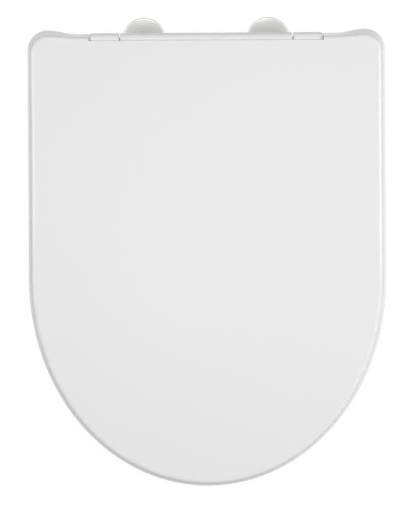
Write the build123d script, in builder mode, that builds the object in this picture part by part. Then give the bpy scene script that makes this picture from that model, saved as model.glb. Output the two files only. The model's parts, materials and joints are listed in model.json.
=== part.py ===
from build123d import *
from math import cos, radians, sin, sqrt
import os

# A D-shaped toilet seat: a lid that wraps over a seat ring, both turning on one hinge line.
# The hinge bar stands on two pillars, which are bolted through the deck at the back of the pan.
# Millimetres. +Z is up, +Y is to the back, and the origin is on the deck midway between the bolts.

# Lid, seen from above
lid_width = 360.0
lid_length = 460.0
front_curve = 208.0  # depth of the half ellipse that closes the front
side_lean = 5.4  # how far sides and front lean in between the skirt's edge and the top
rear_lean = 7.8  # the same for the rear wall of the wings
top_corner_r = 17.0  # rear corners of the top, before its edge is rounded
ear_corner_r = 20.0  # rear corners of the skirt's edge
ear_rise = 4.2  # how far the ears stand out behind the plain rear wall
ear_curve = 30.0  # length of the curve from the ear to the plain rear wall

# Lid, in section
skirt_edge_z = 22.0  # height of the skirt's edge above the deck
lid_wall = 3.5
panel_t = 4.0
dome_r = 7500.0  # the lid's top is part of a large sphere
top_edge_r = 5.5
inner_edge_r = 2.0
skirt_edge_r = 1.2
panel_setback = 0.6  # the panel's rear edge lies this far in front of the hinge axis
wing_corner_r = 2.0  # corner of each wing beside its knuckle
cheek_t = 3.5  # wall that closes each wing beside its knuckle
cheek_reach = 9.0  # how far that wall runs in front of the hinge axis
wing_boss_l = 23.0
boss_wall = 2.2

# Hinge line
axis_forward = 5.0  # hinge axis in front of the bolts
axis_z = 31.0
rear_reach = 9.0  # plain rear wall of the wings behind the hinge axis
barrel_r = 8.5
bar_length = 172.0
knuckle_l = 28.8
end_gap = 1.2  # between one hinge piece and the next
lid_clearance = 1.2  # between the barrels and the panel above them
hinge_edge_r = 1.0

# Spindles, pins, bushes and dampers
pin_r = 3.5
key_flat = 5.0  # across the flats of a keyed spindle end
key_l = 13.0  # keyed length in the seat's knuckle
spindle_entry = 15.0  # how far a spindle runs into its damper
running_clearance = 0.05
seated_clearance = 0.03
bush_wall = 2.0
bush_l = 14.0
flange_t = 0.6
flange_rim = 2.0
damper_l = 46.0
damper_neck_l = 4.0
damper_neck_step = 0.8
damper_flat = 4.8  # from the axis to the flat that stops the cartridge turning
damper_clearance = 0.1
bar_wall = 2.9  # round the damper bores

# Hinge bar's saddles and underside
bore_web = 1.4  # between the damper bore and the sleeve's bore
saddle_wall = 2.5
saddle_drop = 15.0  # saddle's foot below the hinge axis
saddle_rise = 6.5  # saddle's top above the hinge axis
web_drop = 7.0  # web between saddle and barrel, below the hinge axis
core_length = 68.0  # hollow in the underside of the bar
core_width = 9.0
core_roof = 3.2
core_ribs = 3
core_rib_t = 2.4

# Pillars, posts and their sleeves
bolt_spacing = 126.0
post_r = 3.5
post_rise = 3.0  # post's top above the hinge axis
post_tip = 0.8
groove_depth = 0.6
groove_l = 2.4
groove_drop = 6.0  # groove's middle below the post's top
sleeve_wall = 1.0
sleeve_collar_rim = 1.3
sleeve_collar_t = 1.2
base_r = 20.4
base_t = 4.1
cap_r = 21.9
cap_t = 1.0  # at the cover's rim
cap_dome_r = 150.0  # the cover's top is part of a sphere
cap_lift = 0.4  # cap's lower edge above the deck
cap_edge_r = 2.0
cover_clearance = 0.2
gasket_r = 19.8
gasket_t = 1.5
gasket_hole_r = 4.7

# Bolts and what clamps them under the pan
bolt_r = 3.0
thread_r = 2.7  # mean radius of the threaded length
bolt_length = 70.0  # below the deck
bolt_tip = 1.0
head_r = 6.5
head_t = 2.4
head_edge_r = 0.9
head_clearance = 0.3
neck_size = 6.0  # square neck under the head
neck_clearance = 0.1
pan_thickness = 22.0
plain_shank = 15.5
cone_flange_r = 12.0
cone_flange_t = 3.0
cone_foot_r = 7.5
cone_tip_r = 5.5
cone_h = 5.5
washer_r = 10.0
washer_t = 1.5
hole_clearance = 0.2
nut_hub_r = 7.0
nut_hub_h = 12.0
nut_wing_span = 36.0
nut_wing_h = 10.0
nut_wing_t = 3.6
nut_wing_foot = 2.0  # wings stand this far below the washer
nut_edge_r = 1.2
thread_clearance = 0.03

# Seat ring
seat_inset = 8.0  # seat's outline inside the lid's
seat_setback = 26.0  # seat's rear edge in front of the hinge axis
seat_corner_r = 30.0
ring_front = 78.0
ring_side = 60.0
ring_rear = 78.0
seat_t = 21.0
outer_edge_r = 9.0
inner_round_r = 12.0
ring_wall = 4.0
ring_top_t = 4.5
rib_t = 2.6
rib_recess = 4.0  # ribs stop this far above the seat's underside
rib_pairs = 8
arm_root_l = 10.0
arm_root_depth = 2.0  # arm starts this far in front of the seat's rear edge
arm_top_drop = 1.0
arm_bottom_rise = 2.0

# Buffers
buffer_h = 13.0  # carries the seat above the pan's rim
buffer_length = 32.0
buffer_width = 14.0
buffer_edge_r = 2.0
stem_r = 3.0
stem_l = 9.0
stem_boss_wall = 3.5
front_buffer_angle = 38.0  # round the front curve, from the middle
rear_buffer_back = 110.0  # behind the middle of the front curve
lid_buffer_angle = 25.0
lid_buffer_r = 6.5
lid_buffer_edge_r = 1.5
lid_boss_h = 2.6
lid_stem_r = 2.0
lid_stem_l = 2.6
rest_gap = 0.3  # between the lid's buffers and the seat

cut_margin = 1.0  # forms that only cut run this far past what they cut

# Places that follow from those sizes
lid_half = lid_width / 2
axis_y = -axis_forward
wall_y = axis_y + rear_reach
ear_y = wall_y + ear_rise
front_y = ear_y - lid_length
curve_y = front_y + front_curve
panel_y = axis_y - panel_setback
dome_y = (panel_y + front_y) / 2
hollow_r = dome_r - panel_t
dome_z = axis_z + barrel_r + lid_clearance - sqrt(hollow_r**2 - (panel_y - dome_y) ** 2)
form_top_z = dome_z + dome_r + cut_margin
bar_half = bar_length / 2
knuckle_x = bar_half + end_gap
wing_x = knuckle_x + knuckle_l + end_gap
bolt_x = bolt_spacing / 2

bush_bore_r = pin_r + running_clearance
bush_r = bush_bore_r + bush_wall
damper_bore_r = barrel_r - bar_wall
damper_r = damper_bore_r - damper_clearance
sleeve_r = post_r + running_clearance + sleeve_wall
saddle_r = sleeve_r + saddle_wall
post_y = axis_y - damper_bore_r - bore_web - sleeve_r
post_top_z = axis_z + post_rise
groove_z = post_top_z - groove_drop
saddle_z = axis_z - saddle_drop
base_z = gasket_t
base_top_z = base_z + base_t
cap_top_z = base_top_z + cap_t + cap_dome_r - sqrt(cap_dome_r**2 - cap_r**2)
head_seat_z = base_top_z - head_t - head_clearance
cone_z = -pan_thickness
washer_z = cone_z - cone_flange_t
nut_z = washer_z - washer_t

seat_half = lid_half - seat_inset
seat_front_y = front_y + seat_inset
seat_rear_y = axis_y - seat_setback
seat_top_z = buffer_h + seat_t
ceiling_z = seat_top_z - ring_top_t
opening_half = seat_half - ring_side
opening_front_y = seat_front_y + ring_front
opening_rear_y = seat_rear_y - ring_rear
ring_middle_half = (seat_half + opening_half) / 2
ring_middle_depth = curve_y - (seat_front_y + opening_front_y) / 2

sides = {"left": -1, "right": 1}
pieces = {}


def ring_point(angle):
    """A place on the middle of the ring's front curve, by its angle from the centreline."""
    return ring_middle_half * sin(radians(angle)), curve_y - ring_middle_depth * cos(radians(angle))


def hinge_plane(x):
    """A plane square to the hinge line, centred on it."""
    return Plane(origin=(x, axis_y, axis_z), x_dir=(0, 1, 0), z_dir=(1, 0, 0))


def lid_outline(height, half, front, rear, ear, corner_r):
    """A closed outline of the lid at a height: half ellipse, straight sides, round corners and ears."""
    with BuildSketch(Plane.XY.offset(height)) as outline:
        with BuildLine():
            curve = EllipticalCenterArc((0, curve_y), half, curve_y - front, 270, arc_size=90)
            side = Line(curve @ 1, (half, ear - corner_r))
            corner = JernArc(side @ 1, (0, 1), corner_r, 90)
            wall_end = (half - corner_r - ear_curve, rear)
            swell = Spline(corner @ 1, wall_end, tangents=[(-1, 0), (-1, 0)])
            Line(swell @ 1, (0, rear))
            mirror(about=Plane.YZ)
        make_face()
    return outline.sketch


def lid_form(inset, foot_z, sphere_r, edge_r):
    """The lid's outer form or, with an inset, its hollow: leaning walls under a domed top."""
    wall = wall_y - inset
    foot = lid_outline(
        foot_z, lid_half - inset, front_y + inset, wall, ear_y - inset, ear_corner_r - inset
    )
    lean = side_lean + inset
    wall_top = wall - rear_lean
    top = lid_outline(
        form_top_z, lid_half - lean, front_y + lean, wall_top, wall_top, top_corner_r - inset
    )
    with BuildPart() as form:
        loft([foot, top])
        with Locations((0, dome_y, dome_z)):
            Sphere(sphere_r, rotation=(90, 0, 0), mode=Mode.INTERSECT)
        fillet(form.faces().sort_by(Axis.Z)[-1].edges(), edge_r)
    return form.part


def ring_plan(height, inset):
    """The ring's plan at a height, its walls thinned by an inset: a D with an egg-shaped opening."""
    half = seat_half - inset
    rear = seat_rear_y - inset
    open_half = opening_half + inset
    with BuildSketch(Plane.XY.offset(height)) as plan:
        with BuildLine():
            nose = curve_y - seat_front_y - inset
            curve = EllipticalCenterArc((0, curve_y), half, nose, 270, arc_size=90)
            side = Line(curve @ 1, (half, rear - seat_corner_r + inset))
            corner = JernArc(side @ 1, (0, 1), seat_corner_r - inset, 90)
            Line(corner @ 1, (0, rear))
            mirror(about=Plane.YZ)
        make_face()
        with BuildLine():
            opening_nose = curve_y - opening_front_y + inset
            opening_tail = opening_rear_y + inset - curve_y
            EllipticalCenterArc((0, curve_y), open_half, opening_nose, 270, arc_size=90)
            EllipticalCenterArc((0, curve_y), open_half, opening_tail, 0, arc_size=90)
            mirror(about=Plane.YZ)
        make_face(mode=Mode.SUBTRACT)
    return plan.sketch


def key_section(clearance):
    """Draws the section of a keyed spindle end: a round with two flats."""
    Circle(pin_r + clearance)
    Rectangle(2 * (pin_r + clearance), key_flat + 2 * clearance, mode=Mode.INTERSECT)


def damper_section(clearance):
    """Draws the section of a damper cartridge: a round with a flat underneath."""
    radius = damper_r + clearance
    Circle(radius)
    with Locations((0, -damper_flat - clearance)):
        Rectangle(2 * radius, radius, align=(Align.CENTER, Align.MAX), mode=Mode.SUBTRACT)


# Lid
lid_hollow = lid_form(lid_wall, skirt_edge_z - cut_margin, hollow_r, inner_edge_r)
with BuildPart() as lid_outside:
    add(lid_form(0, skirt_edge_z, dome_r, top_edge_r))
    fillet(lid_outside.faces().sort_by(Axis.Z)[0].edges(), skirt_edge_r)

with BuildPart() as cheeks:
    add(lid_outside.part)
    with BuildSketch(Plane.XY.offset(skirt_edge_z)):
        with Locations((wing_x, axis_y - cheek_reach), (-wing_x - cheek_t, axis_y - cheek_reach)):
            Rectangle(cheek_t, lid_length, align=Align.MIN)
    extrude(amount=form_top_z - skirt_edge_z, mode=Mode.INTERSECT)

lid_boss_x, lid_boss_y = ring_point(lid_buffer_angle)
lid_boss_reach = sqrt(lid_boss_x**2 + (lid_boss_y - dome_y) ** 2)
lid_boss_top_z = dome_z + sqrt(hollow_r**2 - lid_boss_reach**2)
lid_boss_z = lid_boss_top_z - lid_boss_h

with BuildPart() as lid:
    add(lid_outside.part)
    add(lid_hollow, mode=Mode.SUBTRACT)
    add(cheeks.part)
    for side in sides.values():
        with BuildSketch(hinge_plane(side * wing_x)):
            Circle(pin_r + boss_wall)
        extrude(amount=side * wing_boss_l)
    with BuildSketch(Plane.XY.offset(lid_boss_z)):
        with Locations((-lid_boss_x, lid_boss_y), (lid_boss_x, lid_boss_y)):
            Circle(lid_stem_r + stem_boss_wall)
    extrude(amount=lid_boss_h + panel_t / 2)
    with BuildSketch(Plane.XY.offset(skirt_edge_z - cut_margin)):
        with BuildLine():
            edge = Line((0, panel_y), (wing_x, panel_y))
            cheek = Line(edge @ 1, (wing_x, wall_y - wing_corner_r))
            turn = JernArc(cheek @ 1, (0, 1), wing_corner_r, -90)
            out = Line(turn @ 1, (wing_x + wing_corner_r, wall_y + lid_length))
            Line(out @ 1, (0, wall_y + lid_length))
            mirror(about=Plane.YZ)
        make_face()
    extrude(amount=form_top_z - skirt_edge_z + cut_margin, mode=Mode.SUBTRACT)
    with BuildSketch(hinge_plane(-wing_x)):
        Circle(barrel_r + lid_clearance)
    extrude(amount=2 * wing_x, mode=Mode.SUBTRACT)
    with BuildSketch(hinge_plane(-wing_x)):
        Circle(pin_r + seated_clearance)
    extrude(amount=-wing_boss_l + boss_wall, mode=Mode.SUBTRACT)
    with BuildSketch(hinge_plane(wing_x)):
        key_section(seated_clearance)
    extrude(amount=wing_boss_l - boss_wall, mode=Mode.SUBTRACT)
    with BuildSketch(Plane.XY.offset(lid_boss_z)):
        with Locations((-lid_boss_x, lid_boss_y), (lid_boss_x, lid_boss_y)):
            Circle(lid_stem_r + seated_clearance)
    extrude(amount=lid_stem_l + seated_clearance, mode=Mode.SUBTRACT)
pieces["lid"] = lid.part

for hand, side in sides.items():
    with BuildPart() as lid_buffer:
        with BuildSketch(Plane((side * lid_boss_x, lid_boss_y, lid_boss_z))):
            Circle(lid_buffer_r)
        extrude(amount=seat_top_z + rest_gap - lid_boss_z)
        fillet(lid_buffer.faces().sort_by(Axis.Z)[0].edges(), lid_buffer_edge_r)
        with BuildSketch(Plane((side * lid_boss_x, lid_boss_y, lid_boss_z))):
            Circle(lid_stem_r)
        extrude(amount=lid_stem_l)
    pieces[f"lid_buffer_{hand}"] = lid_buffer.part

# Seat ring
front_buffer = ring_point(front_buffer_angle)
rear_buffer = (ring_middle_half, curve_y + rear_buffer_back)
buffer_places = {
    f"{end}_{hand}": (side * x, y)
    for end, (x, y) in {"front": front_buffer, "rear": rear_buffer}.items()
    for hand, side in sides.items()
}

channel_plan = ring_plan(buffer_h, ring_wall)

with BuildPart() as arm:
    with BuildSketch(Plane.YZ.offset(knuckle_x)):
        with Locations((axis_y, axis_z)):
            Circle(barrel_r)
        with Locations((seat_rear_y - arm_root_depth, buffer_h + arm_bottom_rise)):
            Rectangle(arm_root_l, seat_t - arm_top_drop - arm_bottom_rise, align=(Align.MAX, Align.MIN))
        make_hull()
    extrude(amount=knuckle_l)
    fillet(arm.faces().filter_by(Axis.X).edges(), hinge_edge_r)

with BuildPart() as seat_ring:
    extrude(ring_plan(buffer_h, 0), amount=seat_t)
    fillet(seat_ring.faces().sort_by(Axis.Z)[-1].outer_wire().edges(), outer_edge_r)
    fillet(seat_ring.faces().sort_by(Axis.Z)[-1].inner_wires().edges(), inner_round_r)
    extrude(channel_plan, amount=ceiling_z - buffer_h, mode=Mode.SUBTRACT)
    with BuildSketch(Plane.XY.offset(buffer_h + rib_recess)):
        with Locations((0, curve_y)):
            with PolarLocations(0, rib_pairs, start_angle=90 / rib_pairs, angular_range=180):
                Rectangle(2 * lid_length, rib_t)
        add(ring_plan(0, ring_wall), mode=Mode.INTERSECT)
    extrude(amount=ceiling_z - buffer_h - rib_recess)
    with BuildSketch(Plane.XY.offset(buffer_h)):
        with Locations(*buffer_places.values()):
            Circle(stem_r + stem_boss_wall)
    extrude(amount=ceiling_z - buffer_h)
    add(arm.part)
    mirror(arm.part, about=Plane.YZ)
    with BuildSketch(Plane.XY.offset(buffer_h)):
        with Locations(*buffer_places.values()):
            Circle(stem_r + seated_clearance)
    extrude(amount=stem_l + seated_clearance, mode=Mode.SUBTRACT)
    with BuildSketch(hinge_plane(-knuckle_x)):
        key_section(seated_clearance)
    extrude(amount=-key_l, mode=Mode.SUBTRACT)
    with BuildSketch(hinge_plane(-knuckle_x - knuckle_l)):
        Circle(bush_r + seated_clearance)
    extrude(amount=bush_l, mode=Mode.SUBTRACT)
    with BuildSketch(hinge_plane(knuckle_x)):
        Circle(bush_r + seated_clearance)
    extrude(amount=knuckle_l, mode=Mode.SUBTRACT)
pieces["seat_ring"] = seat_ring.part

for place, (x, y) in buffer_places.items():
    with BuildPart() as seat_buffer:
        with BuildSketch(Plane((x, y, 0))):
            SlotOverall(buffer_length, buffer_width, rotation=90)
        extrude(amount=buffer_h)
        fillet(seat_buffer.faces().sort_by(Axis.Z)[0].edges(), buffer_edge_r)
        with BuildSketch(Plane((x, y, buffer_h))):
            Circle(stem_r)
        extrude(amount=stem_l)
    pieces[f"seat_buffer_{place}"] = seat_buffer.part

# Bushes, pivot pin and damper spindles
outer_end = knuckle_x + knuckle_l
for hand, length in {"left": bush_l, "right": knuckle_l}.items():
    side = sides[hand]
    with BuildPart() as seat_bush:
        with BuildSketch(hinge_plane(side * (outer_end - length))):
            Circle(bush_r)
        extrude(amount=side * length)
        with BuildSketch(hinge_plane(side * outer_end)):
            Circle(bush_r + flange_rim)
        extrude(amount=side * flange_t)
        with BuildSketch(hinge_plane(side * (outer_end - length))):
            Circle(bush_bore_r)
        extrude(amount=side * (length + flange_t), mode=Mode.SUBTRACT)
    pieces[f"seat_bush_{hand}"] = seat_bush.part

pin_inner = outer_end - bush_l + end_gap
pin_outer = wing_x + wing_boss_l - boss_wall - end_gap
with BuildPart() as lid_pin:
    with BuildSketch(hinge_plane(-pin_outer)):
        Circle(pin_r)
    extrude(amount=pin_outer - pin_inner)
    chamfer(lid_pin.edges().filter_by(GeomType.CIRCLE), hinge_edge_r)
pieces["lid_pin_left"] = lid_pin.part

key_ends = {"left": (knuckle_x, knuckle_x + key_l - end_gap), "right": (wing_x, pin_outer)}
for hand, (key_start, key_end) in key_ends.items():
    side = sides[hand]
    entry = bar_half - spindle_entry
    with BuildPart() as spindle:
        with BuildSketch(hinge_plane(side * entry)):
            Circle(pin_r)
        extrude(amount=side * (key_start - entry))
        chamfer(spindle.faces().sort_by(Axis.X, reverse=side < 0)[0].edges(), hinge_edge_r)
        with BuildSketch(hinge_plane(side * key_start)):
            key_section(0)
        extrude(amount=side * (key_end - key_start))
    pieces[f"damper_spindle_{hand}"] = spindle.part

# Hinge bar and its dampers
with BuildPart() as hinge_bar:
    with BuildSketch(hinge_plane(-bar_half)):
        Circle(barrel_r)
    extrude(amount=bar_length)
    fillet(hinge_bar.edges().filter_by(GeomType.CIRCLE), hinge_edge_r)
    for side in sides.values():
        with BuildSketch(Plane.XY.offset(saddle_z)):
            with Locations((side * bolt_x, post_y)):
                Circle(saddle_r)
        extrude(amount=saddle_drop + saddle_rise)
        with BuildSketch(Plane.XY.offset(axis_z - web_drop)):
            with Locations((side * bolt_x, post_y)):
                Rectangle(2 * saddle_r, axis_y - post_y, align=(Align.CENTER, Align.MIN))
        extrude(amount=web_drop + saddle_rise)
    with BuildSketch(Plane.XY.offset(axis_z - barrel_r)):
        with Locations((0, axis_y)):
            RectangleRounded(core_length, core_width, core_width / 2 - hinge_edge_r)
        with Locations((0, axis_y)):
            with GridLocations(core_length / (core_ribs + 1), 0, core_ribs, 1):
                Rectangle(core_rib_t, core_width, mode=Mode.SUBTRACT)
    extrude(amount=2 * barrel_r - core_roof, mode=Mode.SUBTRACT)
    for side in sides.values():
        with BuildSketch(hinge_plane(side * bar_half)):
            damper_section(damper_clearance)
        extrude(amount=-side * (damper_l + end_gap), mode=Mode.SUBTRACT)
        with BuildSketch(Plane.XY.offset(saddle_z)):
            with Locations((side * bolt_x, post_y)):
                Circle(sleeve_r + seated_clearance)
        extrude(amount=saddle_drop + post_rise + end_gap, mode=Mode.SUBTRACT)
pieces["hinge_bar"] = hinge_bar.part

for hand, side in sides.items():
    with BuildPart() as damper:
        with BuildSketch(hinge_plane(side * (bar_half - damper_l))):
            damper_section(0)
        extrude(amount=side * (damper_l - damper_neck_l))
        with BuildSketch(hinge_plane(side * (bar_half - damper_neck_l))):
            damper_section(-damper_neck_step)
        extrude(amount=side * damper_neck_l)
        with BuildSketch(hinge_plane(side * (bar_half - spindle_entry - end_gap))):
            Circle(bush_bore_r)
        extrude(amount=side * (spindle_entry + end_gap), mode=Mode.SUBTRACT)
    pieces[f"damper_{hand}"] = damper.part

# Pillars: a cast disc with an upright post, its sleeve in the saddle, its cover and its gasket
for hand, side in sides.items():
    with BuildPart() as pillar:
        with BuildSketch(Plane.XY.offset(base_z)):
            with Locations((side * bolt_x, 0)):
                Circle(base_r)
        extrude(amount=base_t)
        with BuildSketch(Plane((side * bolt_x, post_y, 0), x_dir=(1, 0, 0), z_dir=(0, -1, 0))):
            groove_r = post_r - groove_depth
            with BuildLine():
                Polyline(
                    (0, base_z),
                    (post_r, base_z),
                    (post_r, groove_z - groove_l / 2),
                    (groove_r, groove_z - groove_l / 2 + groove_depth),
                    (groove_r, groove_z + groove_l / 2 - groove_depth),
                    (post_r, groove_z + groove_l / 2),
                    (post_r, post_top_z - post_tip),
                    (post_r - post_tip, post_top_z),
                    (0, post_top_z),
                    close=True,
                )
            make_face()
        revolve(axis=Axis((side * bolt_x, post_y, 0), (0, 0, 1)))
        with BuildSketch(Plane.XY.offset(head_seat_z)):
            with Locations((side * bolt_x, 0)):
                Circle(head_r + head_clearance)
        extrude(amount=base_top_z - head_seat_z, mode=Mode.SUBTRACT)
        with BuildSketch(Plane.XY.offset(base_z)):
            with Locations((side * bolt_x, 0)):
                Rectangle(neck_size + 2 * neck_clearance, neck_size + 2 * neck_clearance)
        extrude(amount=head_seat_z - base_z, mode=Mode.SUBTRACT)
    pieces[f"hinge_pillar_{hand}"] = pillar.part

    with BuildPart() as sleeve:
        with BuildSketch(Plane.XY.offset(saddle_z)):
            with Locations((side * bolt_x, post_y)):
                Circle(sleeve_r)
        extrude(amount=saddle_drop + post_rise)
        with BuildSketch(Plane.XY.offset(saddle_z)):
            with Locations((side * bolt_x, post_y)):
                Circle(sleeve_r + sleeve_collar_rim)
        extrude(amount=-sleeve_collar_t)
        with BuildSketch(Plane.XY.offset(saddle_z - sleeve_collar_t)):
            with Locations((side * bolt_x, post_y)):
                Circle(post_r + running_clearance)
        extrude(amount=sleeve_collar_t + saddle_drop + post_rise, mode=Mode.SUBTRACT)
    pieces[f"post_sleeve_{hand}"] = sleeve.part

    with BuildPart() as cap:
        with BuildSketch(Plane.XY.offset(cap_lift)):
            with Locations((side * bolt_x, 0)):
                Circle(cap_r)
        extrude(amount=cap_top_z - cap_lift)
        with Locations((side * bolt_x, 0, cap_top_z - cap_dome_r)):
            Sphere(cap_dome_r, rotation=(90, 0, 0), mode=Mode.INTERSECT)
        fillet(cap.faces().sort_by(Axis.Z)[-1].edges(), cap_edge_r)
        with BuildSketch(Plane.XY.offset(cap_lift)):
            with Locations((side * bolt_x, 0)):
                Circle(base_r + cover_clearance)
        extrude(amount=base_top_z - cap_lift, mode=Mode.SUBTRACT)
        with BuildSketch(Plane.XY.offset(base_top_z)):
            with Locations((side * bolt_x, post_y)):
                Circle(post_r + cover_clearance)
        extrude(amount=cap_top_z - base_top_z, mode=Mode.SUBTRACT)
    pieces[f"pillar_cap_{hand}"] = cap.part

    with BuildPart() as gasket:
        with BuildSketch():
            with Locations((side * bolt_x, 0)):
                Circle(gasket_r)
                Circle(gasket_hole_r, mode=Mode.SUBTRACT)
        extrude(amount=gasket_t)
    pieces[f"deck_gasket_{hand}"] = gasket.part

    with BuildPart() as cone:
        with BuildSketch(Plane.XY.offset(washer_z)):
            with Locations((side * bolt_x, 0)):
                Circle(cone_flange_r)
        extrude(amount=cone_flange_t)
        with Locations((side * bolt_x, 0, cone_z)):
            Cone(cone_foot_r, cone_tip_r, cone_h, align=(Align.CENTER, Align.CENTER, Align.MIN))
        with BuildSketch(Plane.XY.offset(washer_z)):
            with Locations((side * bolt_x, 0)):
                Circle(bolt_r + hole_clearance)
        extrude(amount=cone_flange_t + cone_h, mode=Mode.SUBTRACT)
    pieces[f"cone_washer_{hand}"] = cone.part

# Fasteners, each kind a group of two
bolt_places = [(-bolt_x, 0), (bolt_x, 0)]

with BuildPart() as fixing_bolts:
    with BuildSketch(Plane.XY.offset(head_seat_z)):
        with Locations(*bolt_places):
            Circle(head_r)
    extrude(amount=head_t)
    fillet(fixing_bolts.faces().group_by(Axis.Z)[-1].edges(), head_edge_r)
    with BuildSketch():
        with Locations(*bolt_places):
            Rectangle(neck_size, neck_size)
    extrude(amount=head_seat_z)
    with BuildSketch():
        with Locations(*bolt_places):
            Circle(bolt_r)
    extrude(amount=-plain_shank)
    with BuildSketch(Plane.XY.offset(-plain_shank)):
        with Locations(*bolt_places):
            Circle(thread_r)
    extrude(amount=plain_shank - bolt_length)
    chamfer(fixing_bolts.faces().group_by(Axis.Z)[0].edges(), bolt_tip)
pieces["fixing_bolts"] = fixing_bolts.part

with BuildPart() as clamp_washers:
    with BuildSketch(Plane.XY.offset(nut_z)):
        with Locations(*bolt_places):
            Circle(washer_r)
            Circle(bolt_r + hole_clearance, mode=Mode.SUBTRACT)
    extrude(amount=washer_t)
pieces["clamp_washers"] = clamp_washers.part

with BuildPart() as wing_nut:
    with BuildSketch(Plane.XZ):
        with BuildLine():
            Polyline(
                (0, -nut_hub_h),
                (nut_hub_r, -nut_hub_h + nut_wing_foot),
                (nut_wing_span / 2, -nut_hub_h - nut_wing_foot),
                (nut_wing_span / 2, nut_wing_h - nut_hub_h - nut_wing_foot),
                (nut_hub_r, -nut_wing_foot),
                (0, -nut_wing_foot),
            )
            mirror(about=Plane.YZ)
        make_face()
    extrude(amount=nut_wing_t / 2, both=True)
    fillet(wing_nut.edges(), nut_edge_r)
    Cylinder(nut_hub_r, nut_hub_h, align=(Align.CENTER, Align.CENTER, Align.MAX))
    Cylinder(
        thread_r + thread_clearance,
        nut_hub_h,
        align=(Align.CENTER, Align.CENTER, Align.MAX),
        mode=Mode.SUBTRACT,
    )

with BuildPart() as wing_nuts:
    with Locations(*[(x, y, nut_z) for x, y in bolt_places]):
        add(wing_nut.part)
pieces["wing_nuts"] = wing_nuts.part

os.makedirs("parts", exist_ok=True)
for name, piece in pieces.items():
    piece.label = name
    export_step(piece, f"parts/{name}.step")
    print(name, round(piece.volume), "mm3")
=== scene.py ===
"""Finishes, soft buffers, bolt threads and a small studio for a packed toilet seat."""

import json
from collections import namedtuple
from math import cos, pi, radians, sin

import bmesh
import bpy
from bpy.props import FloatProperty, FloatVectorProperty, IntProperty, PointerProperty
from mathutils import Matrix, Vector


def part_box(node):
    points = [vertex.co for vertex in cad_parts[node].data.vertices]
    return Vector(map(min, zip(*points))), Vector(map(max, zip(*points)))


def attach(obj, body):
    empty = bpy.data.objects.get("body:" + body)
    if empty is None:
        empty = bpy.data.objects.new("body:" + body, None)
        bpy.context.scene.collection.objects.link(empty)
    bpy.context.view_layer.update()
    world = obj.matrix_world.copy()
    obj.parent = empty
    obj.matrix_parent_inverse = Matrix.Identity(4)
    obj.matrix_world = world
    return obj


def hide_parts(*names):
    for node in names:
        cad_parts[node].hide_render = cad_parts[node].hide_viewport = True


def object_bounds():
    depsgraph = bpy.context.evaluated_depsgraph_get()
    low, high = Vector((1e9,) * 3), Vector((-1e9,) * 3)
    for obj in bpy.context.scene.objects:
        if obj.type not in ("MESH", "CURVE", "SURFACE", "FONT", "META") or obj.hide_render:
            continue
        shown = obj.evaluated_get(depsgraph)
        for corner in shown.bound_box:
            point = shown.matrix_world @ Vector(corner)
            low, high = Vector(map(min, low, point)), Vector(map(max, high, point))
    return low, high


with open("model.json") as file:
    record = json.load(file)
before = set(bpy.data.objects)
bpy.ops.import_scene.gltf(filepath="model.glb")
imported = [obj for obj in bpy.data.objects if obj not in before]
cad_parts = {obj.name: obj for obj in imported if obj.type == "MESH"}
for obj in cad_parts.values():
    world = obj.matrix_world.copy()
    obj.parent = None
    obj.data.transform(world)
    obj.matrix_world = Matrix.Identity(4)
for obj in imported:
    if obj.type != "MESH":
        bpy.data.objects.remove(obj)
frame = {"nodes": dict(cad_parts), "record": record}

bl_info = {
    "name": "Toilet Seat Finishes",
    "version": (1, 0, 0),
    "blender": (4, 5, 0),
    "location": "3D View > Sidebar > Toilet Seat",
    "description": "Dresses a packed toilet seat with its finishes, buffers, threads and a studio",
    "category": "Object",
}

MM = 0.001
IMAGE_HEIGHT = 512  # pixels, the image's long side
SENSOR_MM = 36.0  # the camera's sensor along that side
SHARP_ANGLE = radians(40)  # edges sharper than this aren't shaded smooth
QUARTER_TURN = 90  # degrees of a rounded edge
ARC_STEP = 15  # degrees between its points

CAD_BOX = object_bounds()
BOLT_SPACING = frame["record"]["mounts"][0]["dims"]["spacing_x_mm"] * MM
RING_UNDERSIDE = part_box("seat_ring")[0].z
SKIRT_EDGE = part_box("lid")[0].z
BOLT_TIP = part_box("fixing_bolts")[0].z
SIDES = ("left", "right")

# Softboxes: place and size in metres, and whether mirrors show them
TOP_SOFTBOX = ((0.0, -0.21, 1.15), (0.25, 0.25), False)
RIGHT_SOFTBOX = ((1.1, 0.0, 0.95), (0.55, 0.6), True)
LOW_SOFTBOX = ((1.2, -0.5, 0.3), (0.6, 0.6), False)
LEFT_SOFTBOX = ((-1.0, 0.05, 0.9), (0.6, 0.6), True)
REAR_SOFTBOX = ((-0.06, 0.8, 1.4), (0.5, 0.2), True)
# Painted light: the paper's white in mirrors grows this way, standing in for the lamps at the back right
LIGHTER_TOWARDS = (0.75, 0.66, 0.0)  # the way in which the paper gets whiter in mirrors

# A noise pattern: its features' size, its detail and, below 1 along an axis, their stretch there
Pattern = namedtuple("Pattern", "size_mm detail stretch", defaults=((1, 1, 1),))


def linear(srgb_hex):
    """Turns an sRGB hex colour into Blender's linear red, green and blue."""
    channels = [int(srgb_hex[i : i + 2], 16) / 255 for i in (1, 3, 5)]
    return [c / 12.92 if c <= 0.04045 else ((c + 0.055) / 1.055) ** 2.4 for c in channels]


def per_metre(size_mm):
    """A texture's scale for features of a real size in millimetres."""
    return 1 / (size_mm * MM)


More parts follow.
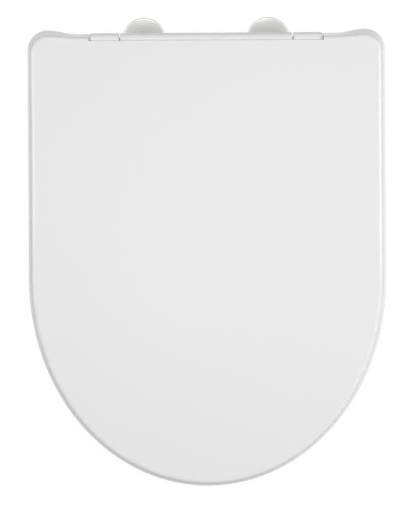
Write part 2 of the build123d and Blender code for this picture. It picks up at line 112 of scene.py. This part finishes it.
class MouldedFinish(bpy.types.PropertyGroup):
    """Colours and gloss of the moulded pieces."""

    duroplast: FloatVectorProperty(
        name="Duroplast", description="Lid and seat ring", subtype="COLOR", default=linear("#EBEBEC")
    )
    duroplast_roughness: FloatProperty(
        name="Duroplast roughness", description="Polished skin", subtype="FACTOR", min=0, max=1, default=0.17
    )
    bar: FloatVectorProperty(
        name="Hinge bar", description="White of the bar", subtype="COLOR", default=linear("#E9E9EA")
    )
    buffer: FloatVectorProperty(
        name="Buffers", description="Soft white pads", subtype="COLOR", default=linear("#E4E3DE")
    )
    nylon: FloatVectorProperty(
        name="Natural nylon", description="Bushes and sleeves", subtype="COLOR", default=linear("#E8E6E0")
    )
    nut: FloatVectorProperty(
        name="White nylon", description="Wing nuts", subtype="COLOR", default=linear("#E3E3DF")
    )
    damper: FloatVectorProperty(
        name="Grey acetal", description="Dampers", subtype="COLOR", default=linear("#9A9C9F")
    )
    rubber: FloatVectorProperty(
        name="Black rubber", description="Gaskets and cones", subtype="COLOR", default=linear("#2B2B2C")
    )


class MetalFinish(bpy.types.PropertyGroup):
    """Colours and gloss of the metal pieces."""

    chrome: FloatVectorProperty(
        name="Satin chrome", description="Round covers", subtype="COLOR", default=linear("#F2F2EF")
    )
    chrome_roughness: FloatProperty(
        name="Chrome roughness", description="Blasted metal", subtype="FACTOR", min=0, max=1, default=0.22
    )
    zinc: FloatVectorProperty(
        name="Chromed zinc", description="Pillars", subtype="COLOR", default=linear("#CFCFCE")
    )
    stainless: FloatVectorProperty(
        name="Stainless steel", description="Bolts and washers", subtype="COLOR", default=linear("#B9B8B5")
    )
    turned: FloatVectorProperty(
        name="Turned steel", description="Spindles and pin", subtype="COLOR", default=linear("#A9A8A6")
    )


class ThreadSizes(bpy.types.PropertyGroup):
    """The thread on the fixing bolts."""

    pitch: FloatProperty(name="Pitch", description="Crest to crest", unit="LENGTH", default=1.0 * MM)
    crest: FloatProperty(name="Crest radius", description="Outer radius", unit="LENGTH", default=3.0 * MM)
    ridge: FloatProperty(name="Ridge", description="Half its width", unit="LENGTH", default=0.45 * MM)
    plain_shank: FloatProperty(
        name="Plain shank", description="Bare length under the deck", unit="LENGTH", default=15.5 * MM
    )
    run_out: FloatProperty(name="Run-out", description="Bare at each end", unit="LENGTH", default=1.4 * MM)
    steps: IntProperty(name="Steps", description="Points in each turn", min=8, default=24)


class BufferSizes(bpy.types.PropertyGroup):
    """Form of the soft buffers under the ring and the lid."""

    edge: FloatProperty(name="Edge", description="Round of the foot", unit="LENGTH", default=2.0 * MM)
    waist: FloatProperty(name="Waist", description="Depth of the groove", unit="LENGTH", default=0.6 * MM)
    waist_top: FloatProperty(
        name="Waist top", description="Share of the pad below", subtype="FACTOR", min=0, max=1, default=0.72
    )
    waist_foot: FloatProperty(
        name="Waist foot", description="Share of the pad below", subtype="FACTOR", min=0, max=1, default=0.52
    )
    rim: FloatProperty(name="Rim", description="Width of the foot's rim", unit="LENGTH", default=1.4 * MM)
    cup: FloatProperty(name="Cup", description="Hollow of the foot", unit="LENGTH", default=0.6 * MM)
    stem: FloatProperty(name="Stem", description="Radius under the ring", unit="LENGTH", default=3.0 * MM)
    lid_stem: FloatProperty(
        name="Lid stem", description="Radius in the lid", unit="LENGTH", default=2.0 * MM
    )
    lid_stem_length: FloatProperty(
        name="Lid stem length", description="Above a lid buffer", unit="LENGTH", default=2.6 * MM
    )
    steps: IntProperty(name="Steps", description="Points round a pad", min=16, default=64)


class StudioSizes(bpy.types.PropertyGroup):
    """Camera, lamps and floor."""

    camera_height: FloatProperty(
        name="Camera height", description="Above the deck", unit="LENGTH", default=2.0
    )
    pixel: FloatProperty(
        name="Pixel", description="Its size at the skirt's edge", unit="LENGTH", default=1.0073 * MM
    )
    camera_x: FloatProperty(
        name="Camera to the right", description="Of the middle", unit="LENGTH", default=1.06 * MM
    )
    camera_y: FloatProperty(
        name="Camera to the back", description="Of the bolts", unit="LENGTH", default=-220.4 * MM
    )
    camera_roll: FloatProperty(
        name="Camera roll", description="About the line of sight", subtype="ANGLE", default=radians(-0.34)
    )
    world_light: FloatProperty(name="World", description="Light from all round", min=0, default=0.42)
    ceiling: FloatProperty(name="Ceiling", description="Grey overhead in mirrors", min=0, default=0.41)
    ceiling_rim: FloatProperty(
        name="Ceiling rim", description="Overhead to white walls", subtype="ANGLE", default=radians(32)
    )
    top_lamp: FloatProperty(name="Top lamp", description="Over the lid", unit="POWER", default=4.35)
    right_lamp: FloatProperty(name="Right lamp", description="Key light", unit="POWER", default=3.5)
    low_lamp: FloatProperty(name="Low lamp", description="Front right", unit="POWER", default=2.5)
    left_lamp: FloatProperty(name="Left lamp", description="Fill light", unit="POWER", default=2.6)
    rear_lamp: FloatProperty(name="Rear lamp", description="Behind the hinge", unit="POWER", default=0.75)
    paper: FloatVectorProperty(
        name="Paper", description="Seamless floor", subtype="COLOR", default=linear("#DADADA")
    )
    floor_drop: FloatProperty(
        name="Floor", description="Below the deck and a folded lid", unit="LENGTH", default=108 * MM
    )
    floor_half: FloatProperty(
        name="Half floor", description="Middle to side", unit="LENGTH", default=4.0
    )
    glow: FloatProperty(name="Glow", description="White of the paper to the camera", min=0, default=0.92)
    shade: FloatProperty(
        name="Shade", description="Share of the shadow on it", subtype="FACTOR", min=0, max=1, default=0.12
    )
    # Painted light on the paper in mirrors: less white at the front left, more at the back right
    mirrored_near: FloatProperty(
        name="Mirrored near",
        description="White of the paper in mirrors, at the front left",
        subtype="FACTOR",
        min=0,
        max=1,
        default=0.35,
    )
    mirrored_far: FloatProperty(
        name="Mirrored far",
        description="White of the paper in mirrors, at the back right",
        subtype="FACTOR",
        min=0,
        max=1,
        default=0.93,
    )
    # Painted dark reflection: beyond the footprint the paper turns dark in mirrors only, and stays white to
    # the camera
    dark_reflection_start: FloatProperty(
        name="Flags start", description="Paper darkens in mirrors", unit="LENGTH", default=130 * MM
    )
    dark_reflection_end: FloatProperty(
        name="Flags end", description="Paper is dark in mirrors", unit="LENGTH", default=260 * MM
    )
    flag: FloatVectorProperty(
        name="Darkened", description="Dark reflections round the paper", subtype="COLOR", default=linear("#404040")
    )


class ToiletSeatLook(bpy.types.PropertyGroup):
    """All that a user can change."""

    moulded: PointerProperty(type=MouldedFinish)
    metal: PointerProperty(type=MetalFinish)
    thread: PointerProperty(type=ThreadSizes)
    buffers: PointerProperty(type=BufferSizes)
    studio: PointerProperty(type=StudioSizes)


def look():
    """The scene's settings for this object."""
    return bpy.context.scene.toilet_seat


def add_node(tree, kind, settings=None, links=None):
    """Adds a node, sets its properties and inputs, and links its inputs to the given outputs."""
    node = tree.nodes.new(kind)
    for name, value in (settings or {}).items():
        if isinstance(name, int) or name in node.inputs:
            node.inputs[name].default_value = value
        else:
            setattr(node, name, value)
    for name, source in (links or {}).items():
        tree.links.new(source, node.inputs[name])
    return node


def finish_of(build):
    """The material that a function builds, named after it and made on first use."""
    material = bpy.data.materials.get(build.__name__)
    if material is None:
        material = bpy.data.materials.new(build.__name__)
        material.use_nodes = True
        material.node_tree.nodes.clear()
        build(material.node_tree)
    return material


def surface(tree, color, tone, darkens, grain, roughness, spread, bump_mm, settings):
    """Ends a material: the tone pattern darkens its colour, the grain varies its roughness and relief."""
    where = add_node(tree, "ShaderNodeTexCoord").outputs["Object"]
    values = []
    for pattern in (tone, grain):
        turned = add_node(tree, "ShaderNodeMapping", {"Scale": pattern.stretch}, {"Vector": where})
        sizes = {"Scale": per_metre(pattern.size_mm), "Detail": pattern.detail}
        drawn = add_node(tree, "ShaderNodeTexNoise", sizes, {"Vector": turned.outputs["Vector"]})
        values.append(drawn.outputs["Fac"])
    dark = [c * (1 - darkens) for c in color]
    paint = add_node(
        tree, "ShaderNodeMix", {"data_type": "RGBA", 6: (*dark, 1), 7: (*color, 1)}, {"Factor": values[0]}
    )
    limits = {"To Min": roughness - spread, "To Max": roughness + spread}
    rough = add_node(tree, "ShaderNodeMapRange", limits, {"Value": values[1]})
    relief = add_node(tree, "ShaderNodeBump", {"Distance": bump_mm * MM}, {"Height": values[1]})
    shader = add_node(
        tree,
        "ShaderNodeBsdfPrincipled",
        settings,
        {"Base Color": paint.outputs[2], "Roughness": rough.outputs[0], "Normal": relief.outputs[0]},
    )
    add_node(tree, "ShaderNodeOutputMaterial", links={"Surface": shader.outputs["BSDF"]})


def pressed_duroplast(tree):
    # Urea moulding compound pressed in a polished steel mould: a hard white body under a glassy skin.
    # Its filler leaves a faint cloud in the white, and the pressing a slow, shallow wave in the gloss.
    surface(
        tree,
        look().moulded.duroplast,
        tone=Pattern(size_mm=40, detail=3),
        darkens=0.012,
        grain=Pattern(size_mm=12, detail=1),
        roughness=look().moulded.duroplast_roughness,
        spread=0.03,
        bump_mm=0.003,
        settings={"IOR": 1.55},
    )


def moulded_abs(tree):
    # ABS injected into a polished mould: as white as the lid and a little softer in the gloss,
    # with faint flow marks along the bar.
    surface(
        tree,
        look().moulded.bar,
        tone=Pattern(size_mm=6, detail=2, stretch=(0.15, 1, 1)),
        darkens=0.012,
        grain=Pattern(size_mm=2, detail=2),
        roughness=0.22,
        spread=0.03,
        bump_mm=0.002,
        settings={"IOR": 1.53},
    )


def moulded_elastomer(tree):
    # Soft thermoplastic elastomer from a matt mould: milky, lets a little light in, and picks up dust.
    surface(
        tree,
        look().moulded.buffer,
        tone=Pattern(size_mm=4, detail=4),
        darkens=0.05,
        grain=Pattern(size_mm=0.6, detail=2),
        roughness=0.5,
        spread=0.08,
        bump_mm=0.012,
        settings={
            "IOR": 1.5,
            "Subsurface Weight": 0.25,
            "Subsurface Radius": (3.0 * MM, 2.7 * MM, 2.2 * MM),
            "Subsurface Scale": 1.0,
        },
    )


def natural_nylon(tree):
    # Unpigmented nylon: ivory, slightly see-through at thin edges, with a dull sheen.
    surface(
        tree,
        look().moulded.nylon,
        tone=Pattern(size_mm=5, detail=2),
        darkens=0.04,
        grain=Pattern(size_mm=0.5, detail=2),
        roughness=0.4,
        spread=0.06,
        bump_mm=0.006,
        settings={
            "IOR": 1.53,
            "Subsurface Weight": 0.15,
            "Subsurface Radius": (2.0 * MM, 1.8 * MM, 1.4 * MM),
            "Subsurface Scale": 1.0,
        },
    )


def white_nylon(tree):
    # Pigmented nylon from a spark-eroded mould: a fine even grain that breaks up the highlight.
    surface(
        tree,
        look().moulded.nut,
        tone=Pattern(size_mm=5, detail=2),
        darkens=0.04,
        grain=Pattern(size_mm=0.7, detail=3),
        roughness=0.45,
        spread=0.08,
        bump_mm=0.02,
        settings={"IOR": 1.53},
    )


def grey_acetal(tree):
    # Acetal cartridge, turned after moulding: waxy grey with a low, wide sheen.
    surface(
        tree,
        look().moulded.damper,
        tone=Pattern(size_mm=6, detail=2),
        darkens=0.06,
        grain=Pattern(size_mm=0.8, detail=2, stretch=(1, 0.1, 0.1)),
        roughness=0.36,
        spread=0.06,
        bump_mm=0.006,
        settings={"IOR": 1.48},
    )


def black_rubber(tree):
    # Moulded black rubber: matt, with a greyish bloom where the sulphur has come out.
    surface(
        tree,
        look().moulded.rubber,
        tone=Pattern(size_mm=9, detail=4),
        darkens=0.35,
        grain=Pattern(size_mm=0.5, detail=3),
        roughness=0.62,
        spread=0.1,
        bump_mm=0.02,
        settings={"IOR": 1.52},
    )


def satin_chrome(tree):
    # Steel pressing, blasted with glass beads and then plated: an even sheen without lines.
    # The beads leave dents of about 0.1 mm, drawn at 0.5 mm so that they show.
    surface(
        tree,
        look().metal.chrome,
        tone=Pattern(size_mm=14, detail=3),
        darkens=0.03,
        grain=Pattern(size_mm=0.5, detail=2),
        roughness=look().metal.chrome_roughness,
        spread=0.04,
        bump_mm=0.004,
        settings={"Metallic": 1.0},
    )


def chromed_zinc(tree):
    # Zinc casting, tumbled and plated: bright, with the soft unevenness of the casting under the chrome.
    surface(
        tree,
        look().metal.zinc,
        tone=Pattern(size_mm=10, detail=3),
        darkens=0.04,
        grain=Pattern(size_mm=3, detail=2),
        roughness=0.2,
        spread=0.05,
        bump_mm=0.02,
        settings={"Metallic": 1.0},
    )


def stainless_wire(tree):
    # Cold-headed stainless wire with a rolled thread: drawn lines along the shank, greyer than chrome.
    surface(
        tree,
        look().metal.stainless,
        tone=Pattern(size_mm=6, detail=3),
        darkens=0.08,
        grain=Pattern(size_mm=0.6, detail=3, stretch=(1, 1, 0.06)),
        roughness=0.32,
        spread=0.08,
        bump_mm=0.006,
        settings={"Metallic": 1.0},
    )


def turned_steel(tree):
    # Free-cutting steel off the lathe: rings round the axis, one for each turn of the tool.
    # The feed is about 0.1 mm, drawn at 0.4 mm so that the rings show.
    surface(
        tree,
        look().metal.turned,
        tone=Pattern(size_mm=5, detail=3),
        darkens=0.08,
        grain=Pattern(size_mm=0.4, detail=2, stretch=(1, 0.05, 0.05)),
        roughness=0.28,
        spread=0.08,
        bump_mm=0.008,
        settings={"Metallic": 1.0},
    )


def dress(build, *nodes):
    """Gives CAD nodes a finish."""
    for name in nodes:
        for slot in frame["nodes"][name].material_slots:
            slot.material = finish_of(build)


def both(name):
    """The left and the right node of a kind."""
    return [f"{name}_{side}" for side in SIDES]


def settle(obj, body, build):
    """Puts a finished mesh into the scene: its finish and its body."""
    bpy.context.scene.collection.objects.link(obj)
    obj.data.materials.clear()
    obj.data.materials.append(finish_of(build))
    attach(obj, body)
    return obj


def grown(name, tree, settings):
    """Runs a Geometry Nodes tree with the given inputs and returns its result as a plain mesh object."""
    maker = bpy.data.objects.new(name + "_maker", bpy.data.meshes.new(name + "_maker"))
    bpy.context.scene.collection.objects.link(maker)
    modifier = maker.modifiers.new("Maker", "NODES")
    modifier.node_group = tree
    for item in tree.interface.items_tree:
        if item.in_out == "INPUT":
            modifier[item.identifier] = settings[item.name]
    depsgraph = bpy.context.evaluated_depsgraph_get()
    mesh = bpy.data.meshes.new_from_object(maker.evaluated_get(depsgraph), depsgraph=depsgraph)
    mesh.name = name
    bpy.data.objects.remove(maker)
    if not mesh.polygons:
        raise RuntimeError(f"{name} came out empty")
    return bpy.data.objects.new(name, mesh)


def thread_tree():
    """A tree that winds a ridge round each of two bolts."""
    tree = bpy.data.node_groups.new("bolt_thread", "GeometryNodeTree")
    for name in ("Pitch", "Crest", "Ridge", "Height", "Foot", "Spacing"):
        tree.interface.new_socket(name, in_out="INPUT", socket_type="NodeSocketFloat")
    tree.interface.new_socket("Steps", in_out="INPUT", socket_type="NodeSocketInt")
    tree.interface.new_socket("Finish", in_out="INPUT", socket_type="NodeSocketMaterial")
    tree.interface.new_socket("Thread", in_out="OUTPUT", socket_type="NodeSocketGeometry")
    given = add_node(tree, "NodeGroupInput").outputs
    turns = add_node(
        tree, "ShaderNodeMath", {"operation": "DIVIDE"}, {0: given["Height"], 1: given["Pitch"]}
    )
    middle = add_node(
        tree, "ShaderNodeMath", {"operation": "SUBTRACT"}, {0: given["Crest"], 1: given["Ridge"]}
    )
    path = add_node(
        tree,
        "GeometryNodeCurveSpiral",
        links={
            "Resolution": given["Steps"],
            "Rotations": turns.outputs[0],
            "Start Radius": middle.outputs[0],
            "End Radius": middle.outputs[0],
            "Height": given["Height"],
        },
    )
    upright = add_node(
        tree, "GeometryNodeSetCurveNormal", {"mode": "Z_UP"}, {"Curve": path.outputs["Curve"]}
    )
    # Four points make a square that stands on its corner, so that the ridge is a V
    section = add_node(
        tree, "GeometryNodeCurvePrimitiveCircle", {"Resolution": 4}, {"Radius": given["Ridge"]}
    )
    ridge = add_node(
        tree,
        "GeometryNodeCurveToMesh",
        {"Fill Caps": True},
        {"Curve": upright.outputs["Curve"], "Profile Curve": section.outputs["Curve"]},
    )
    half = add_node(tree, "ShaderNodeMath", {"operation": "MULTIPLY", 1: -0.5}, {0: given["Spacing"]})
    first = add_node(tree, "ShaderNodeCombineXYZ", links={"X": half.outputs[0], "Z": given["Foot"]})
    step = add_node(tree, "ShaderNodeCombineXYZ", links={"X": given["Spacing"]})
    bolts = add_node(
        tree,
        "GeometryNodeMeshLine",
        {"Count": len(SIDES)},
        {"Start Location": first.outputs[0], "Offset": step.outputs[0]},
    )
    placed = add_node(
        tree,
        "GeometryNodeInstanceOnPoints",
        links={"Points": bolts.outputs["Mesh"], "Instance": ridge.outputs["Mesh"]},
    )
    real = add_node(
        tree, "GeometryNodeRealizeInstances", links={"Geometry": placed.outputs["Instances"]}
    )
    finished = add_node(
        tree,
        "GeometryNodeSetMaterial",
        links={"Geometry": real.outputs["Geometry"], "Material": given["Finish"]},
    )
    add_node(tree, "NodeGroupOutput", links={"Thread": finished.outputs["Geometry"]})
    return tree


def oblong(length, width, height, steps):
    """Points round an oblong with half-round ends, its long side along Y."""
    radius = width / 2
    straight = (length - width) / 2
    points = []
    for step in range(steps):
        angle = 2 * pi * step / steps
        end = straight if step < steps / 2 else -straight
        points.append(Vector((radius * cos(angle), end + radius * sin(angle), height)))
    return points


def lofted(name, outlines, centre):
    """A closed mesh over outlines of equally many points, from the first to the last."""
    shell = bmesh.new()
    rows = [[shell.verts.new(point + centre) for point in outline] for outline in outlines]
    count = len(outlines[0])
    for lower, upper in zip(rows, rows[1:]):
        for i in range(count):
            shell.faces.new((lower[i], lower[(i + 1) % count], upper[(i + 1) % count], upper[i]))
    shell.faces.new(rows[0])
    shell.faces.new(rows[-1])
    bmesh.ops.recalc_face_normals(shell, faces=shell.faces)
    mesh = bpy.data.meshes.new(name)
    shell.to_mesh(mesh)
    shell.free()
    mesh.shade_smooth()
    mesh.set_sharp_from_angle(angle=SHARP_ANGLE)
    return bpy.data.objects.new(name, mesh)


def buffer_pad(node, pad_top, stem, body):
    """Replaces a buffer's plain solid: a grooved pad with a cupped foot and its stem."""
    sizes = look().buffers
    low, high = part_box(node)
    width, length = high.x - low.x, high.y - low.y
    steps = sizes.steps
    height = pad_top - low.z
    outlines = [oblong(2 * stem, 2 * stem, high.z, steps), oblong(2 * stem, 2 * stem, pad_top, steps)]
    groove_top, groove_foot = low.z + sizes.waist_top * height, low.z + sizes.waist_foot * height
    profile = [(0, pad_top), (0, groove_top), (sizes.waist, groove_top - sizes.waist)]
    profile += [(sizes.waist, groove_foot + sizes.waist), (0, groove_foot)]
    for degrees in range(0, QUARTER_TURN + ARC_STEP, ARC_STEP):
        inward = sizes.edge * (1 - cos(radians(degrees)))
        profile.append((inward, low.z + sizes.edge * (1 - sin(radians(degrees)))))
    cup = sizes.edge + sizes.rim
    profile += [(cup, low.z), (cup + sizes.cup, low.z + sizes.cup)]
    outlines += [oblong(length - 2 * inset, width - 2 * inset, z, steps) for inset, z in profile]
    centre = Vector(((low.x + high.x) / 2, (low.y + high.y) / 2, 0))
    pad = settle(lofted(node + "_pad", outlines, centre), body, moulded_elastomer)
    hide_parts(node)


class FinishLid(bpy.types.Operator):
    """Gives the lid its pressed white finish"""

    bl_idname = "toilet_seat.finish_lid"
    bl_label = "Lid"

    def execute(self, context):
        dress(pressed_duroplast, "lid")
        return {"FINISHED"}


class FinishSeatRing(bpy.types.Operator):
    """Gives the seat ring its pressed white finish"""

    bl_idname = "toilet_seat.finish_seat_ring"
    bl_label = "Seat ring"

    def execute(self, context):
        dress(pressed_duroplast, "seat_ring")
        return {"FINISHED"}


class FinishHinge(bpy.types.Operator):
    """Finishes the hinge bar and what turns inside the hinge line"""

    bl_idname = "toilet_seat.finish_hinge"
    bl_label = "Hinge line"

    def execute(self, context):
        dress(moulded_abs, "hinge_bar")
        dress(grey_acetal, *both("damper"))
        dress(turned_steel, *both("damper_spindle"), "lid_pin_left")
        dress(natural_nylon, *both("seat_bush"), *both("post_sleeve"))
        return {"FINISHED"}


class FinishPillars(bpy.types.Operator):
    """Finishes the pillars, their round covers and their gaskets"""

    bl_idname = "toilet_seat.finish_pillars"
    bl_label = "Pillars and covers"

    def execute(self, context):
        dress(chromed_zinc, *both("hinge_pillar"))
        dress(satin_chrome, *both("pillar_cap"))
        dress(black_rubber, *both("deck_gasket"), *both("cone_washer"))
        return {"FINISHED"}


class ThreadBolts(bpy.types.Operator):
    """Finishes the fixing bolts, winds a thread on them and finishes washers and nuts"""

    bl_idname = "toilet_seat.thread_bolts"
    bl_label = "Bolts and nuts"

    def execute(self, context):
        dress(stainless_wire, "fixing_bolts", "clamp_washers")
        dress(white_nylon, "wing_nuts")
        sizes = look().thread
        foot = BOLT_TIP + sizes.run_out
        settings = {
            "Pitch": sizes.pitch,
            "Crest": sizes.crest,
            "Ridge": sizes.ridge,
            "Height": -sizes.plain_shank - sizes.run_out - foot,
            "Foot": foot,
            "Spacing": BOLT_SPACING,
            "Steps": sizes.steps,
            "Finish": finish_of(stainless_wire),
        }
        thread = grown("bolt_threads", thread_tree(), settings)
        settle(thread, "hinge_base", stainless_wire)
        return {"FINISHED"}


class MouldBuffers(bpy.types.Operator):
    """Moulds the soft buffers under the seat ring and the lid"""

    bl_idname = "toilet_seat.mould_buffers"
    bl_label = "Buffers"

    def execute(self, context):
        sizes = look().buffers
        for node in both("seat_buffer_front") + both("seat_buffer_rear"):
            buffer_pad(node, RING_UNDERSIDE, sizes.stem, "seat")
        for node in both("lid_buffer"):
            buffer_pad(node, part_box(node)[1].z - sizes.lid_stem_length, sizes.lid_stem, "lid")
        return {"FINISHED"}


def lookers(tree):
    """Two masks: rays that come from the camera, and rays that come from mirrors or glass."""
    seen = add_node(tree, "ShaderNodeLightPath").outputs
    links = {0: seen["Is Glossy Ray"], 1: seen["Is Transmission Ray"]}
    mirrors = add_node(tree, "ShaderNodeMath", {"operation": "MAXIMUM"}, links)
    return seen["Is Camera Ray"], mirrors.outputs[0]


def seamless_paper(tree):
    # Pale matt paper, white where the camera looks at it, with the object's shadow left on it.
    # Mirrors see less of that white at the front left than at the back right, a painted light that stands in
    # for the lamps at the back right, and farther out the paper shows dark in mirrors only, a painted dark
    # reflection which draws a thin line round the metal covers.
    studio = look().studio
    camera, mirrors = lookers(tree)
    place = add_node(tree, "ShaderNodeTexCoord").outputs["Object"]
    # Painted light: the white that mirrors see grows towards the back right
    along = add_node(
        tree, "ShaderNodeVectorMath", {"operation": "DOT_PRODUCT", 1: LIGHTER_TOWARDS}, {0: place}
    )
    low, high = CAD_BOX
    settings = {"From Min": low.y, "From Max": high.y}
    settings |= {"To Min": studio.mirrored_near, "To Max": studio.mirrored_far}
    painted_mirror_light = add_node(tree, "ShaderNodeMapRange", settings, {"Value": along.outputs["Value"]})
    share = add_node(
        tree, "ShaderNodeMath", {"operation": "MULTIPLY"}, {0: mirrors, 1: painted_mirror_light.outputs[0]}
    )
    looked_at = add_node(
        tree, "ShaderNodeMath", {"operation": "MAXIMUM"}, {0: camera, 1: share.outputs[0]}
    )
    matt = add_node(tree, "ShaderNodeBsdfDiffuse", {"Color": (*studio.paper, 1)})
    grey = (studio.shade, studio.shade, studio.shade, 1)
    faint = add_node(tree, "ShaderNodeBsdfDiffuse", {"Color": grey})
    glow = add_node(tree, "ShaderNodeEmission", {"Strength": studio.glow})
    white = add_node(tree, "ShaderNodeAddShader", links={0: faint.outputs[0], 1: glow.outputs[0]})
    paper = add_node(
        tree,
        "ShaderNodeMixShader",
        links={"Fac": looked_at.outputs[0], 1: matt.outputs[0], 2: white.outputs[0]},
    )
    # The distance from the object's footprint, a box that is endless upwards
    centre = (low + high) / 2
    half = (high - centre).x, (high - centre).y, studio.floor_half
    offset = add_node(tree, "ShaderNodeVectorMath", {"operation": "SUBTRACT", 1: centre}, {0: place})
    size = add_node(tree, "ShaderNodeVectorMath", {"operation": "ABSOLUTE"}, {0: offset.outputs[0]})
    beyond = add_node(
        tree, "ShaderNodeVectorMath", {"operation": "SUBTRACT", 1: half}, {0: size.outputs[0]}
    )
    gap = add_node(tree, "ShaderNodeVectorMath", {"operation": "MAXIMUM"}, {0: beyond.outputs[0]})
    away = add_node(tree, "ShaderNodeVectorMath", {"operation": "LENGTH"}, {0: gap.outputs[0]})
    # Painted dark reflection: between these distances the paper turns dark grey in mirrors only
    settings = {"From Min": studio.dark_reflection_start, "From Max": studio.dark_reflection_end}
    outside = add_node(tree, "ShaderNodeMapRange", settings, {"Value": away.outputs["Value"]})
    dark_reflected = add_node(
        tree, "ShaderNodeMath", {"operation": "MULTIPLY"}, {0: mirrors, 1: outside.outputs[0]}
    )
    painted_dark_reflection = add_node(tree, "ShaderNodeBsdfDiffuse", {"Color": (*studio.flag, 1)})
    shown = add_node(
        tree,
        "ShaderNodeMixShader",
        links={"Fac": dark_reflected.outputs[0], 1: paper.outputs[0], 2: painted_dark_reflection.outputs[0]},
    )
    add_node(tree, "ShaderNodeOutputMaterial", links={"Surface": shown.outputs[0]})


def studio_world():
    """Soft light from all round; to the camera and in mirrors, white walls and a greyer ceiling."""
    studio = look().studio
    world = bpy.data.worlds.new("studio")
    world.use_nodes = True
    tree = world.node_tree
    tree.nodes.clear()
    camera, mirrors = lookers(tree)
    looked_at = add_node(tree, "ShaderNodeMath", {"operation": "MAXIMUM"}, {0: camera, 1: mirrors})
    toward = add_node(tree, "ShaderNodeTexCoord").outputs["Generated"]
    soft = add_node(
        tree, "ShaderNodeBackground", {"Color": (1, 1, 1, 1), "Strength": studio.world_light}
    )
    upward = add_node(tree, "ShaderNodeSeparateXYZ", links={"Vector": toward})
    overhead = add_node(
        tree,
        "ShaderNodeMapRange",
        {"From Min": cos(studio.ceiling_rim), "To Min": 1, "To Max": studio.ceiling},
        {"Value": upward.outputs["Z"]},
    )
    white = add_node(
        tree, "ShaderNodeBackground", {"Color": (1, 1, 1, 1)}, {"Strength": overhead.outputs[0]}
    )
    shown = add_node(
        tree,
        "ShaderNodeMixShader",
        links={"Fac": looked_at.outputs[0], 1: soft.outputs[0], 2: white.outputs[0]},
    )
    add_node(tree, "ShaderNodeOutputWorld", links={"Surface": shown.outputs[0]})
    bpy.context.scene.world = world


def paper_floor():
    """A square of paper under the object."""
    studio = look().studio
    half = studio.floor_half
    corners = [(-half, -half), (half, -half), (half, half), (-half, half)]
    mesh = bpy.data.meshes.new("floor")
    mesh.from_pydata([(x, y, -studio.floor_drop) for x, y in corners], [], [(0, 1, 2, 3)])
    mesh.materials.append(finish_of(seamless_paper))
    floor = bpy.data.objects.new("floor", mesh)
    bpy.context.scene.collection.objects.link(floor)


def softbox(name, power, place, size, mirrored):
    """A lamp aimed at the middle of the lid, unseen by the camera and, unless mirrored, by mirrors."""
    lamp = bpy.data.lights.new(name, "AREA")
    lamp.shape = "RECTANGLE"
    lamp.size, lamp.size_y = size
    lamp.energy = power
    obj = bpy.data.objects.new(name, lamp)
    obj.location = place
    target = Vector((0, look().studio.camera_y, SKIRT_EDGE))
    obj.rotation_euler = (target - obj.location).to_track_quat("-Z", "Y").to_euler()
    obj.visible_glossy = mirrored
    obj.visible_camera = False
    bpy.context.scene.collection.objects.link(obj)


def overhead_camera():
    """A camera straight above the lid, its lens set by the size of a pixel at the skirt's edge."""
    scene = bpy.context.scene
    studio = look().studio
    lens = bpy.data.cameras.new("camera")
    lens.sensor_width = SENSOR_MM
    distance = studio.camera_height - SKIRT_EDGE
    lens.lens = SENSOR_MM * distance / (IMAGE_HEIGHT * studio.pixel)
    camera = bpy.data.objects.new("camera", lens)
    camera.location = (studio.camera_x, studio.camera_y, studio.camera_height)
    camera.rotation_euler = (0, 0, studio.camera_roll)
    scene.collection.objects.link(camera)
    scene.camera = camera


class StudioStage(bpy.types.Operator):
    """Makes the floor, the lamps, the world and the camera"""

    bl_idname = "toilet_seat.stage"
    bl_label = "Studio"

    def execute(self, context):
        studio = look().studio
        context.scene.view_settings.view_transform = "Standard"
        studio_world()
        paper_floor()
        softbox("top_softbox", studio.top_lamp, *TOP_SOFTBOX)
        softbox("right_softbox", studio.right_lamp, *RIGHT_SOFTBOX)
        softbox("low_softbox", studio.low_lamp, *LOW_SOFTBOX)
        softbox("left_softbox", studio.left_lamp, *LEFT_SOFTBOX)
        softbox("rear_softbox", studio.rear_lamp, *REAR_SOFTBOX)
        overhead_camera()
        return {"FINISHED"}


class ToiletSeatPanel(bpy.types.Panel):
    """Lists the steps that dress the toilet seat"""

    bl_idname = "VIEW3D_PT_toilet_seat"
    bl_label = "Toilet Seat"
    bl_space_type = "VIEW_3D"
    bl_region_type = "UI"
    bl_category = "Toilet Seat"

    def draw(self, context):
        for operator in OPERATORS:
            self.layout.operator(operator.bl_idname)


OPERATORS = (FinishLid, FinishSeatRing, FinishHinge, FinishPillars, ThreadBolts, MouldBuffers, StudioStage)
SETTINGS = (MouldedFinish, MetalFinish, ThreadSizes, BufferSizes, StudioSizes, ToiletSeatLook)
CLASSES = (*SETTINGS, *OPERATORS, ToiletSeatPanel)


def register():
    for entry in CLASSES:
        bpy.utils.register_class(entry)
    bpy.types.Scene.toilet_seat = PointerProperty(type=ToiletSeatLook)


def unregister():
    del bpy.types.Scene.toilet_seat
    for entry in reversed(CLASSES):
        bpy.utils.unregister_class(entry)


def main():
    """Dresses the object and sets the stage."""
    register()
    bpy.ops.toilet_seat.finish_lid()
    bpy.ops.toilet_seat.finish_seat_ring()
    bpy.ops.toilet_seat.finish_hinge()
    bpy.ops.toilet_seat.finish_pillars()
    bpy.ops.toilet_seat.thread_bolts()
    bpy.ops.toilet_seat.mould_buffers()
    bpy.ops.toilet_seat.stage()


if __name__ == "__main__":
    main()
